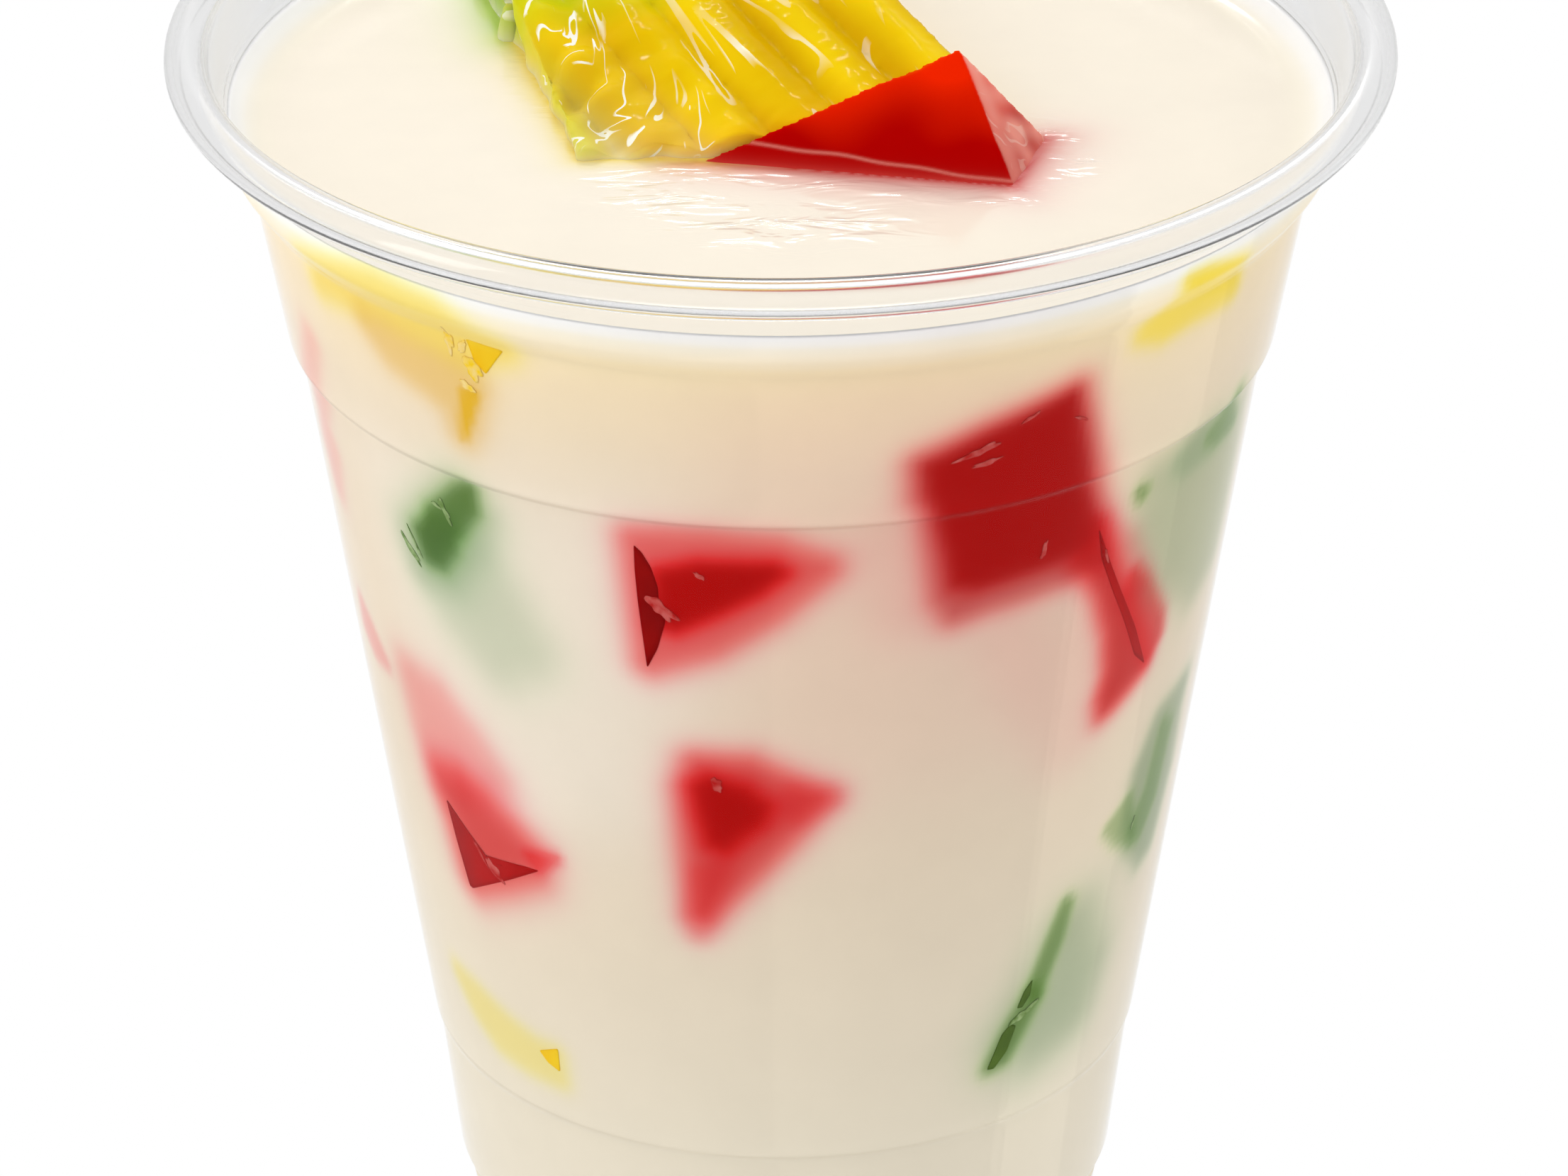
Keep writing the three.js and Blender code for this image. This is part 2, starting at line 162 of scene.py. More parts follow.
CUP_TURN_STEPS = 192
CUP_WALL = 0.7
RIM_RADIUS = 49.0
RIM_CURL_WIDTH, RIM_CURL_HEIGHT = 3.4, 3.2
RIM_CURL_TURN = 250  # degrees of the ellipse that the plastic follows
RIM_CURL_STEPS = 22
NECK_TOP = 105.0  # inside, where the curl begins
NECK_OUTSIDE = (45.9, 104.4)  # radius and height where the curl's outside meets the neck
CUP_HEIGHT = 108.0
CUP_FLOOR = 3.5
FLOOR_EDGE = (25.8, 26.5)  # where the flat floor ends, and the wall's foot FLOOR_RISE above it
FLOOR_RISE = 0.7
FOOT_RING = (24.4, 26.2)
FOOT_RING_LEAN = 0.2
CORNER_REACH = 0.5  # how far the small curves at corners reach along the wall
WALL_STATIONS = np.array([  # outer radius and height of each corner of the wall
    [26.6, 6.6], [27.5, 7.0], [29.1, 20.1], [29.4, 20.4], [39.1, 82.9],
    [39.9, 83.2], [42.5, 97.2], [44.3, 99.5], [44.83, 102.2], [45.5, 105.6]])


def inner_radius(height):
    """Inner radius of the cup's wall in millimetres, at heights in millimetres."""
    return np.interp(height, WALL_STATIONS[1:, 1], WALL_STATIONS[1:, 0] - CUP_WALL)


def eased(profile, steps=4):
    """A profile with each inner corner replaced by a small curve: the corner is the middle
    point of a quadratic Bezier whose ends lie on its two sides, at most CORNER_REACH away."""
    before, corner, after = profile[:-2], profile[1:-1], profile[2:]
    ends = []
    for far in (before, after):
        side = far - corner
        length = np.linalg.norm(side, axis=1, keepdims=True)
        ends.append(corner + side / length * np.minimum(CORNER_REACH, 0.45 * length))
    t = np.linspace(0, 1, steps)[None, :, None]
    curve = (1 - t) ** 2 * ends[0][:, None] + 2 * t * (1 - t) * corner[:, None] + t ** 2 * ends[1][:, None]
    return np.vstack([profile[:1], curve.reshape(-1, 2), profile[-1:]])


def rim_arc(inset):
    """The rolled rim's section: an ellipse from the neck over the top, outwards and back under."""
    angle = np.pi - np.linspace(0, np.radians(RIM_CURL_TURN), RIM_CURL_STEPS)
    centre = (RIM_RADIUS - RIM_CURL_WIDTH / 2, CUP_HEIGHT - RIM_CURL_HEIGHT / 2)
    return np.column_stack([
        centre[0] + (RIM_CURL_WIDTH / 2 - inset) * np.cos(angle),
        centre[1] + (RIM_CURL_HEIGHT / 2 - inset) * np.sin(angle)])


def turned(profile, steps):
    """A profile of radius and height, in millimetres, turned round the Z axis: a point at radius r
    goes to r sin a, -r cos a for each angle a. Points on the axis become one vertex.
    Returns vertices in metres and faces."""
    angle = np.arange(steps) * (2 * np.pi / steps)
    on_axis = profile[:, 0] < 1e-6
    start = np.cumsum(np.where(on_axis, 1, steps)) - np.where(on_axis, 1, steps)
    rings = [
        np.array([[0, 0, height]]) if axis else
        np.column_stack([radius * np.sin(angle), -radius * np.cos(angle), np.full(steps, height)])
        for (radius, height), axis in zip(profile, on_axis)]
    around = np.arange(steps)
    onward = (around + 1) % steps
    faces = []
    for low in range(len(profile) - 1):
        high = low + 1
        a, b = start[low], start[high]
        if on_axis[low]:
            faces += np.column_stack([np.full(steps, a), b + onward, b + around]).tolist()
        elif on_axis[high]:
            faces += np.column_stack([a + around, a + onward, np.full(steps, b)]).tolist()
        else:
            faces += np.column_stack([a + around, a + onward, b + onward, b + around]).tolist()
    return np.vstack(rings) * MM, faces


def add_piece(name, points, faces, *materials):
    """A smooth mesh object at the origin, of points in metres, riding on the object's one body."""
    mesh = bpy.data.meshes.new(name)
    mesh.from_pydata(points.tolist(), [], faces)
    mesh.polygons.foreach_set("use_smooth", [True] * len(mesh.polygons))
    for material in materials:
        mesh.materials.append(material)
    mesh.update()
    piece = bpy.data.objects.new(name, mesh)
    bpy.context.scene.collection.objects.link(piece)
    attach(piece, "root")
    return piece


def clear_pet_material(name, ior, roughness, tint):
    """Clear thermoformed PET: it bends light by its index, has faint ripples from the mould and
    takes away the tint's share of light. Lamps shine straight through it to the filling."""
    material = bpy.data.materials.new(name)
    material.use_nodes = True
    tree = material.node_tree
    tree.nodes.clear()
    spot = add_node(tree, "ShaderNodeTexCoord")
    ripple = add_node(tree, "ShaderNodeTexNoise", {
        "Vector": spot.outputs["Object"], "Scale": 90.0, "Detail": 2.0})
    bump = add_node(tree, "ShaderNodeBump", {
        "Height": ripple.outputs["Fac"], "Strength": 0.012, "Distance": 0.3 * MM})
    shader = add_node(tree, "ShaderNodeBsdfPrincipled", {
        "Base Color": linear(tint), "Roughness": roughness, "IOR": ior, "Transmission Weight": 1.0,
        "Normal": bump.outputs["Normal"]})
    lamp_way = add_node(tree, "ShaderNodeBsdfTransparent", {"Color": linear("#FCFCFC")})
    ray = add_node(tree, "ShaderNodeLightPath")
    mix = add_node(tree, "ShaderNodeMixShader", {
        0: ray.outputs["Is Shadow Ray"], 1: shader.outputs[0], 2: lamp_way.outputs[0]})
    add_node(tree, "ShaderNodeOutputMaterial", {"Surface": mix.outputs[0]})
    return material


# The free rim and neck shine and bend light as PET does. Where the gelatin wets the wall it
# mirrors almost nothing, so the blocks show through it in full colour.
pet_free = clear_pet_material("clear_pet", 1.42, 0.10, "#FDFDFD")
pet_wetted = clear_pet_material("clear_pet_wetted", 1.12, 0.03, "#FEFEFE")
WETTED_BELOW = 102.0

inner_wall = WALL_STATIONS[1:-1] - [CUP_WALL, 0]
outer_wall = WALL_STATIONS[::-1].copy()
outer_wall[0] = NECK_OUTSIDE
inside = np.vstack([
    [[0, CUP_FLOOR], [FLOOR_EDGE[0], CUP_FLOOR], [FLOOR_EDGE[1], CUP_FLOOR + FLOOR_RISE]], inner_wall,
    [[RIM_RADIUS - RIM_CURL_WIDTH, NECK_TOP]]])
floor_below = CUP_FLOOR - CUP_WALL
outside = np.vstack([
    outer_wall, [[FOOT_RING[1], 0], [FOOT_RING[0], 0], [FOOT_RING[0] - FOOT_RING_LEAN, floor_below],
                 [0, floor_below]]])
cup_profile = np.vstack([eased(inside), rim_arc(0), rim_arc(CUP_WALL)[::-1], eased(outside)])
points, faces = turned(cup_profile[::-1], CUP_TURN_STEPS)
cup = add_piece("clear_cup", points, faces, pet_free, pet_wetted)
face_height = np.array([points[list(face), 2].mean() for face in faces]) / MM
cup.data.polygons.foreach_set("material_index", (face_height < WETTED_BELOW).astype(int))
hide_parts("cup")

# ---------------------------------------- milk gelatin
# Milk set with gelatin, poured warm round the blocks: cream-white, soft gloss, climbing
# the wall in a small lip. Blocks close behind its surface colour it from within.

MILK_LEVEL = 100.5
LIP_RISE, LIP_WIDTH = 1.6, 3.2
LIP_HOLLOW = 2.2  # the power by which the lip falls to the level of the milk
INTO_WALL = 0.08  # how far the milk reaches into the plastic of the wall,
INTO_FLOOR = (0.1, 0.05)  # and of the floor's edge sideways and downwards
BLOCK_GAP = 0.36  # the CAD blocks stand this far behind the wall's inside
MILK_GRID = 0.7
MILK_TURN_STEPS = 360
# Milk's tones down the wall, with painted light in them: painted white at the lip and warm under
# it, for the light that comes through the thin edge, and paler again towards the foot.
TONE_AND_LIGHT_HEIGHTS = [0, 20, 50, 80, 88, 95, 98, 99.2, 100.5, 101.2, 102.2]
TONE_AND_LIGHT_COLOURS = ["#EDE4D1", "#EDE3CE", "#EADAC2", "#ECDABF", "#F1DFC2", "#F8E4C0", "#FDEAC0", "#FDEECE",
                "#FEF6E2", "#FFFDF8", "#FFFFFF"]
MILK_TOP = "#FAF0DE"
# Colour of each kind of block, and how deep in the milk its red, green and blue still show:
# each channel's share falls to a third over that many millimetres.
BLOCK_GLOW = {
    "red": ("#A90405", (0.32, 1.45, 1.35)),
    "green": ("#4F7029", (0.8, 0.7, 0.7)),
    "yellow": ("#F0C414", (0.9, 0.9, 0.85)),
    "red_top": ("#C8100C", (1.0, 1.4, 1.3)),
    "green_top": ("#A8C840", (1.6, 1.2, 1.6)),
    "yellow_top": ("#F2D760", (0.8, 0.9, 1.2)),
}
GLOW_REACH = 8  # past this many millimetres no block colours the milk
AT_WALL, ON_TOP = 0.3, 0.6  # so near the wall or the level of the milk, a point counts as at it
LIT_WHITE_EDGE = 1.0  # width of the lip's outermost part, which stays painted white for the light through its thin edge
# On the photographed side the film of milk between block and wall is thin over part of each
# block: there its colour shows by a share, fading out round it. The share is raised to a power
# for red, green and blue, because milk takes each of them away at its own pace. Cream makes the
# milk paler at the cup's left front.
FILM_COLOURS = {
    "red": ("#B30707", (9.0, 1.0, 1.15)),
    "deep_red": ("#B00B0A", (3.2, 1.0, 1.12)),
    "green": ("#4C6E24", (1.0, 1.4, 0.85)),
    "sage": ("#50764A", (1.0, 1.25, 1.05)),
    "yellow": ("#F4C512", (3.0, 2.9, 1.0)),
    "cream": ("#F6EFE4", (1.0, 1.0, 1.0)),
    "lemon": ("#FADC3C", (1.8, 1.8, 1.0)),
    "amber": ("#E6B41E", (1.0, 1.0, 1.0)),
}
FILMS = [  # behind it, share, fade in millimetres, outline in degrees from the front and height in millimetres; the outlines follow what the photo shows
    # in millimetres; the outlines follow by eye what the photo shows
    ("cream", 0.45, 9.0, [(-50.8, 78.4), (-20.4, 78.8), (-20.2, 72.8), (-26.0, 57.6), (-38.7, 55.2),
                          (-47.9, 67.2)]),
    ("red", 0.09, 12.0, [(4.3, 87.1), (15.0, 89.0), (19.1, 65.3), (8.3, 64.9), (2.9, 77.4)]),
    ("yellow", 0.7, 2.3, [(-57.5, 98.1), (-45.3, 100.7), (-37.8, 99.9), (-33.8, 97.9), (-30.8, 97.1),
                          (-35.6, 95.6), (-40.2, 96.4), (-48.6, 97.0), (-59.3, 95.7)]),
    ("amber", 0.6, 2.2, [(-50.4, 94.8), (-44.8, 94.3), (-37.4, 93.5), (-35.0, 92.8), (-36.6, 89.1),
                         (-37.8, 87.8), (-38.5, 90.1), (-41.8, 91.4), (-47.2, 92.6)]),
    ("amber", 0.95, 0.5, [(-36.7, 91.9), (-34.7, 92.1), (-36.5, 89.0), (-37.6, 87.3), (-37.4, 89.3)]),
    ("sage", 0.46, 3.4, [(-50.6, 74.4), (-47.0, 76.9), (-40.2, 81.1), (-39.0, 79.7), (-41.3, 76.7),
                         (-45.7, 73.1), (-49.9, 72.3)]),
    ("green", 1.0, 1.5, [(-49.4, 75.3), (-46.5, 76.9), (-43.8, 77.1), (-44.2, 75.4), (-46.5, 73.5),
                         (-48.5, 73.4)]),
    ("green", 0.92, 1.3, [(-46.2, 78.0), (-41.3, 81.0), (-39.3, 81.8), (-39.3, 80.0), (-42.3, 77.4),
                          (-47.2, 75.7)]),
    ("sage", 0.32, 4.4, [(-45.7, 73.1), (-41.1, 75.3), (-37.5, 71.7), (-34.6, 68.0), (-38.2, 66.5),
                         (-43.5, 69.0)]),
    ("red", 0.84, 2.6, [(-17.1, 80.6), (-13.8, 80.9), (-8.4, 81.0), (-0.8, 80.5), (4.4, 78.9),
                        (-1.6, 75.1), (-8.9, 71.6), (-16.4, 69.5)]),
    ("red", 1.0, 1.4, [(-14.8, 77.9), (-9.8, 79.0), (-5.2, 79.1), (-1.0, 79.1), (-0.0, 78.6),
                       (-3.0, 76.8), (-8.3, 74.6), (-13.1, 72.8), (-15.0, 73.1), (-14.9, 76.0)]),
    ("red", 0.9, 2.6, [(-10.9, 59.6), (-4.5, 59.6), (4.0, 56.7), (-0.5, 53.0), (-5.9, 49.1),
                       (-11.2, 45.4), (-11.9, 51.6), (-12.1, 57.1)]),
    ("red", 0.5, 1.7, [(-11.1, 48.8), (-9.0, 49.3), (-12.1, 43.2), (-12.7, 44.4)]),
    ("red", 0.5, 1.7, [(1.8, 57.3), (6.1, 56.9), (2.0, 55.3)]),
    ("red", 1.0, 1.7, [(-11.3, 57.6), (-9.6, 58.3), (-5.1, 57.5), (-2.5, 56.0), (-3.3, 54.6),
                       (-5.7, 53.3), (-7.9, 51.9), (-9.6, 52.3), (-10.7, 55.1)]),
    ("deep_red", 0.84, 2.4, [(15.7, 88.3), (22.9, 90.2), (33.0, 92.1), (40.3, 78.2), (41.0, 74.9),
                             (35.4, 74.6), (25.6, 74.1), (21.2, 73.6), (19.8, 75.1), (17.8, 83.4),
                             (16.0, 85.6)]),
    ("deep_red", 1.0, 1.5, [(16.6, 87.9), (23.0, 89.7), (27.9, 90.7), (32.8, 91.7), (34.1, 88.4),
                            (36.0, 83.5), (39.5, 78.1), (39.2, 76.8), (35.0, 76.4), (29.1, 76.2),
                            (23.7, 75.9), (21.2, 76.4), (20.3, 79.3), (18.6, 83.3), (17.1, 85.5)]),
    ("red", 0.18, 5.0, [(13.5, 80.4), (17.9, 80.6), (18.7, 75.5), (15.7, 75.2)]),
    ("red", 0.15, 5.0, [(30.7, 69.3), (40.4, 67.2), (42.4, 60.3), (40.5, 58.3), (36.8, 61.6)]),
    ("red", 0.95, 2.1, [(40.2, 77.6), (43.6, 73.4), (47.1, 69.3), (50.3, 65.6), (54.2, 61.4), (51.8, 60.5),
                        (48.2, 59.3), (46.9, 59.1), (46.4, 60.3), (47.1, 62.8), (45.9, 66.8), (43.3, 70.9),
                        (40.6, 73.8), (38.5, 75.2)]),
    ("red", 0.88, 1.3, [(48.8, 71.3), (52.2, 69.3), (56.7, 65.2), (57.2, 63.4), (55.0, 61.8), (51.3, 65.5),
                        (48.2, 69.4)]),
    ("red", 0.5, 1.8, [(42.6, 76.9), (46.5, 74.8), (50.4, 70.6), (47.4, 70.6), (44.2, 73.9)]),
    ("lemon", 0.84, 1.6, [(42.0, 95.7), (44.3, 97.0), (46.5, 99.0), (54.1, 98.4), (57.0, 95.4),
                          (49.6, 95.5), (44.9, 95.0)]),
    ("lemon", 0.86, 1.0, [(45.2, 100.2), (48.2, 100.2), (53.8, 99.0), (57.2, 96.5), (49.4, 97.8)]),
    ("sage", 0.44, 3.4, [(71.1, 79.1), (59.3, 80.9), (50.8, 79.1), (51.0, 75.5), (55.8, 70.1),
                         (65.9, 66.0), (71.3, 67.0), (71.9, 72.4)]),
    ("sage", 0.34, 1.6, [(65.6, 83.2), (68.8, 79.9), (62.3, 79.4), (56.6, 79.4), (55.1, 80.1),
                         (60.0, 81.2), (65.6, 81.8)]),
    ("green", 0.5, 1.0, [(65.6, 83.2), (69.9, 79.5), (64.3, 79.5), (61.7, 80.4), (65.9, 81.4)]),
    ("green", 0.66, 0.8, [(47.1, 79.5), (48.2, 79.2), (47.8, 78.8)]),
    ("red", 0.5, 3.2, [(-58.2, 59.1), (-52.2, 59.0), (-46.8, 56.3), (-43.0, 53.5), (-50.8, 51.5),
                       (-55.2, 52.2), (-57.1, 54.5)]),
    ("red", 0.9, 3.4, [(-54.3, 50.3), (-50.1, 50.8), (-46.0, 50.0), (-41.5, 48.6), (-38.1, 47.0),
                       (-38.6, 45.9), (-44.6, 43.9), (-50.8, 42.1), (-52.4, 46.9), (-54.4, 49.4)]),
    ("red", 0.7, 0.9, [(-38.1, 47.0), (-33.3, 47.7), (-36.7, 46.1)]),
    ("sage", 0.62, 2.0, [(70.1, 54.7), (69.3, 52.1), (70.5, 46.7), (69.3, 43.8), (67.9, 40.5),
                         (65.2, 40.2), (60.7, 42.7), (59.1, 45.5), (59.5, 50.0), (62.8, 53.8)]),
    ("green", 0.56, 0.9, [(52.6, 45.9), (57.0, 47.6), (60.3, 42.7), (55.4, 44.2)]),
    ("green", 0.5, 0.9, [(64.4, 52.8), (67.1, 51.9), (66.1, 45.4), (62.6, 42.5), (59.9, 44.0),
                         (63.0, 47.1)]),
    ("sage", 0.52, 4.8, [(39.3, 28.8), (43.3, 32.2), (47.5, 37.0), (52.1, 32.2), (50.6, 28.6),
                         (42.8, 27.6)]),
    ("green", 0.7, 0.9, [(40.3, 33.0), (42.9, 37.2), (45.2, 40.6), (45.9, 40.2), (44.8, 36.8),
                         (41.8, 32.2)]),
    ("green", 0.8, 1.2, [(34.1, 26.5), (37.1, 29.8), (40.5, 32.7), (41.5, 31.9), (38.7, 28.9),
                         (36.5, 26.8)]),
    ("yellow", 0.52, 1.6, [(-61.1, 29.7), (-55.7, 29.2), (-49.0, 27.9), (-42.4, 26.9), (-38.6, 26.9),
                           (-38.5, 24.6), (-44.9, 24.6), (-51.6, 25.1), (-56.9, 27.0)]),
    ("red", 0.34, 2.2, [(-66.3, 88.2), (-74.4, 80.3), (-71.0, 76.5), (-72.5, 73.1), (-74.6, 77.0),
                        (-69.2, 84.1)]),
    ("red", 0.45, 1.2, [(-72.8, 62.0), (-70.1, 60.7), (-66.3, 58.3), (-70.4, 58.0), (-73.7, 59.5)]),
]


def evenly(profile, spacing):
    """The same profile with points no further apart than spacing."""
    length = np.linalg.norm(np.diff(profile, axis=0), axis=1)
    run = np.concatenate([[0], np.cumsum(length)])
    places = np.unique(np.concatenate([
        np.linspace(run[i], run[i + 1], max(2, int(np.ceil(length[i] / spacing)) + 1))
        for i in range(len(length))]))
    return np.column_stack([np.interp(places, run, profile[:, 0]), np.interp(places, run, profile[:, 1])])


def triangles_of(node_name):
    """The CAD node's triangles, as an array of triangles by corners by coordinates, in millimetres."""
    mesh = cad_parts[node_name].data
    mesh.calc_loop_triangles()
    corners = np.empty(len(mesh.vertices) * 3)
    mesh.vertices.foreach_get("co", corners)
    index = np.empty(len(mesh.loop_triangles) * 3, int)
    mesh.loop_triangles.foreach_get("vertices", index)
    return corners.reshape(-1, 3)[index].reshape(-1, 3, 3) / MM


def distance_to(triangles, points):
    """Distance from each point to the nearest triangle: to its plane where the point stands
    over the triangle, and else to its nearest edge."""
    best = np.full(len(points), np.inf)
    for a, b, c in triangles:
        normal = np.cross(b - a, c - a)
        area = np.linalg.norm(normal)
        if area < 1e-9:
            continue
        normal = normal / area
        over = np.ones(len(points), bool)
        for start, end in ((a, b), (b, c), (c, a)):
            side = end - start
            rel = points - start
            along = np.clip(rel @ side / (side @ side), 0, 1)
            best = np.minimum(best, np.linalg.norm(rel - along[:, None] * side, axis=1))
            over &= np.cross(side, rel) @ normal >= 0
        height = np.abs((points - a) @ normal)
        best = np.where(over, np.minimum(best, height), best)
    return best


def distance_on_wall(outline, azimuth, height):
    """Distance along the wall from each place, by azimuth in degrees and height, to an outline given
    in the same way, below zero inside it: where a line sideways crosses an odd number of sides."""
    degree = inner_radius(np.mean([z for _, z in outline])) * np.pi / 180
    corners = np.array(outline) * [degree, 1]
    points = np.column_stack([azimuth * degree, height])
    best, inside = np.full(len(points), np.inf), np.zeros(len(points), bool)
    for start, end in zip(corners, np.roll(corners, -1, axis=0)):
        side, rel = end - start, points - start
        along = np.clip(rel @ side / (side @ side), 0, 1)
        best = np.minimum(best, np.linalg.norm(rel - along[:, None] * side, axis=1))
        if side[1] != 0:
            crossing = start[0] + (points[:, 1] - start[1]) * side[0] / side[1]
            inside ^= ((points[:, 1] > start[1]) != (points[:, 1] > end[1])) & (points[:, 0] < crossing)
    return np.where(inside, -best, best)


def milk_colours(place):
    """Linear colour of the milk's surface at points in millimetres. The milk's tone, with painted
    light in it, goes by height; each block's colour is mixed in by exp(-distance / depth), channel by
    channel, and each film's by (share / (1 + exp(4 distance / fade - 3))) to its power. At the wall
    the distance to a block is taken from just behind it, where the blocks begin."""
    radius = np.hypot(place[:, 0], place[:, 1])
    at_wall = radius > inner_radius(place[:, 2]) - AT_WALL
    tone_and_light_rows = np.array([linear(colour)[:3] for colour in TONE_AND_LIGHT_COLOURS])
    shade = np.column_stack([np.interp(place[:, 2], TONE_AND_LIGHT_HEIGHTS, tone_and_light_rows[:, i]) for i in range(3)])
    top_share = np.clip((inner_radius(lip_top) - LIT_WHITE_EDGE - radius) / LIP_WIDTH, 0, 1)[:, None]
    on_top = ((place[:, 2] > MILK_LEVEL - ON_TOP) & ~at_wall)[:, None]
    shade = np.where(on_top, shade + top_share * (np.array(linear(MILK_TOP)[:3]) - shade), shade)
    inset = np.where(at_wall, 1 - (INTO_WALL + BLOCK_GAP) / np.maximum(radius, 1), 1.0)
    probe = place * np.column_stack([inset, inset, np.ones(len(place))])
    for name in glowing_blocks:
        triangles = triangles_of(name)
        lowest, highest = triangles.min((0, 1)) - GLOW_REACH, triangles.max((0, 1)) + GLOW_REACH
        near = ((probe > lowest) & (probe < highest)).all(1)
        if not name.endswith("_top"):
            near &= ~on_top[:, 0]
        distance = distance_to(triangles, probe[near])
        colour, depths = BLOCK_GLOW.get(name, BLOCK_GLOW[name.split("_")[0]])
        share = np.exp(-distance[:, None] / np.array(depths))
        shade[near] += (np.array(linear(colour)[:3]) - shade[near]) * share
    azimuth = np.degrees(np.arctan2(place[:, 0], -place[:, 1]))
    for behind, strength, fade, outline in FILMS:
        colour, powers = FILM_COLOURS[behind]
        away = distance_on_wall(outline, azimuth, place[:, 2])
        share = strength / (1 + np.exp(np.clip(4 * away / fade - 3, -30, 30)))
        share = np.where(on_top[:, 0], 0, share)[:, None] ** np.array(powers)
        shade += (np.array(linear(colour)[:3]) - shade) * share
    return np.column_stack([shade, np.ones(len(shade))])


WET_TRAILS = [  # wet run of syrup round the blocks on top: points seen from above, half width, strength
    ([(-11, -15), (-7, -19), (-1, -22.5), (6, -21.5)], 4.0, 1.0),
    ([(-10, -11.5), (2, -13.5), (12, -16), (19, -16.5), (24, -11), (21, -3)], 1.8, 0.7),
    ([(-16, -8), (-20, 2), (-22, 12)], 2.0, 0.25),
]


def wetness(place):
    """Share of wetness at points in millimetres: each trail's strength times exp(-(d / width)^2),
    with d the distance to its line seen from above; the highest of the trails counts."""
    wet = np.zeros(len(place))
    for trail, width, strength in WET_TRAILS:
        for start, end in zip(np.array(trail[:-1]), np.array(trail[1:])):
            rel = place[:, :2] - start
            along = np.clip(rel @ (end - start) / ((end - start) @ (end - start)), 0, 1)
            away = np.linalg.norm(rel - along[:, None] * (end - start), axis=1)
            wet = np.maximum(wet, strength * np.exp(-(away / width) ** 2))
    return wet


def paint(piece, attribute_name, colours):
    """Store one linear colour for each vertex as an attribute of the piece."""
    attribute = piece.data.color_attributes.new(attribute_name, "FLOAT_COLOR", "POINT")
    attribute.data.foreach_set("color", colours.astype(np.float32).ravel())


block_names = [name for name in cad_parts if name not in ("cup", "milk_gelatin")]
glowing_blocks = [name for name in block_names if "_top" in name or "_back" in name]
side_heights = np.array([z for z in WALL_STATIONS[1:, 1] if z < MILK_LEVEL])
lip_top = MILK_LEVEL + LIP_RISE
lip_radius = inner_radius(lip_top) + INTO_WALL
milk_foot = CUP_FLOOR - INTO_FLOOR[1]
milk_corners = np.vstack([
    [[0, milk_foot], [FLOOR_EDGE[0], milk_foot], [FLOOR_EDGE[1] + INTO_FLOOR[0], CUP_FLOOR + FLOOR_RISE]],
    np.column_stack([inner_radius(side_heights) + INTO_WALL, side_heights]),
    [[lip_radius, lip_top]]])
side_profile = evenly(eased(milk_corners), MILK_GRID)
lip = np.linspace(0, 1, 9)[1:]
lip_fall = LIP_RISE * (1 - (1 - lip) ** LIP_HOLLOW)
lip_curve = np.column_stack([lip_radius - LIP_WIDTH * lip, lip_top - lip_fall])
milk_profile = np.vstack([
    side_profile, lip_curve, evenly(np.array([lip_curve[-1], [0, MILK_LEVEL]]), MILK_GRID)[1:]])
points, faces = turned(milk_profile, MILK_TURN_STEPS)


def milk_material(name, roughness, specular, ripple_height):
    """Milk gelatin: its colour is the painted attribute with a faint cloudiness at 6 mm. Where it is
    painted wet, syrup stands on it in ripples of that height in millimetres, 2 to 6 mm long and
    longer from left to right."""
    material = bpy.data.materials.new(name)
    material.use_nodes = True
    tree = material.node_tree
    shader = tree.nodes["Principled BSDF"]
    painted = add_node(tree, "ShaderNodeAttribute", attribute_name="milk_colour")
    spot = add_node(tree, "ShaderNodeTexCoord")
    cloud = add_node(tree, "ShaderNodeTexNoise", {
        "Vector": spot.outputs["Object"], "Scale": 160.0, "Detail": 3.0})
    veil = add_node(tree, "ShaderNodeMapRange", {
        "Value": cloud.outputs["Fac"], "From Min": 0.3, "From Max": 0.7, "To Min": 0.985, "To Max": 1.01})
    colour = add_node(tree, "ShaderNodeVectorMath", {
        0: painted.outputs["Color"], "Scale": veil.outputs["Result"]}, operation="SCALE")
    tree.links.new(colour.outputs[0], shader.inputs["Base Color"])
    if ripple_height > 0:
        wet = add_node(tree, "ShaderNodeAttribute", attribute_name="wet")
        drawn_out = add_node(tree, "ShaderNodeMapping", {
            "Vector": spot.outputs["Object"], "Scale": (0.4, 1.0, 1.0)})
        ripple = add_node(tree, "ShaderNodeTexNoise", {
            "Vector": drawn_out.outputs["Vector"], "Scale": 420.0, "Detail": 2.0, "Distortion": 0.8})
        bump = add_node(tree, "ShaderNodeBump", {
            "Height": ripple.outputs["Fac"], "Strength": wet.outputs["Fac"],
            "Distance": ripple_height * MM})
        tree.links.new(bump.outputs["Normal"], shader.inputs["Normal"])
    shader.inputs["Roughness"].default_value = roughness
    shader.inputs["IOR"].default_value = 1.36
    shader.inputs["Specular IOR Level"].default_value = specular
    return material


# Against the wall the milk wets the plastic and has no gloss of its own; its open top is moist.
milk_at_wall = milk_material("milk_gelatin_at_wall", 0.6, 0.0, 0)
milk_on_top = milk_material("milk_gelatin_moist", 0.12, 0.3, 0.6)
milk = add_piece("milk_gelatin_body", points, faces, milk_at_wall, milk_on_top)
surface = np.zeros(len(faces), int)
surface[(len(side_profile) - 1) * MILK_TURN_STEPS:] = 1  # past the rings of faces of its side
milk.data.polygons.foreach_set("material_index", surface)
paint(milk, "milk_colour", milk_colours(points / MM))
wet_share = milk.data.attributes.new("wet", "FLOAT", "POINT")
wet_share.data.foreach_set("value", wetness(points / MM).astype(np.float32))
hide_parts("milk_gelatin")

# ---------------------------------------- blocks at the wall
# Blocks of red, green and yellow gelatin cut from slabs, pressed against the wall. Behind a
# film of milk they only tint it; where one touches the plastic, that part of its face shows
# with a sharp edge, as a window through the milk.

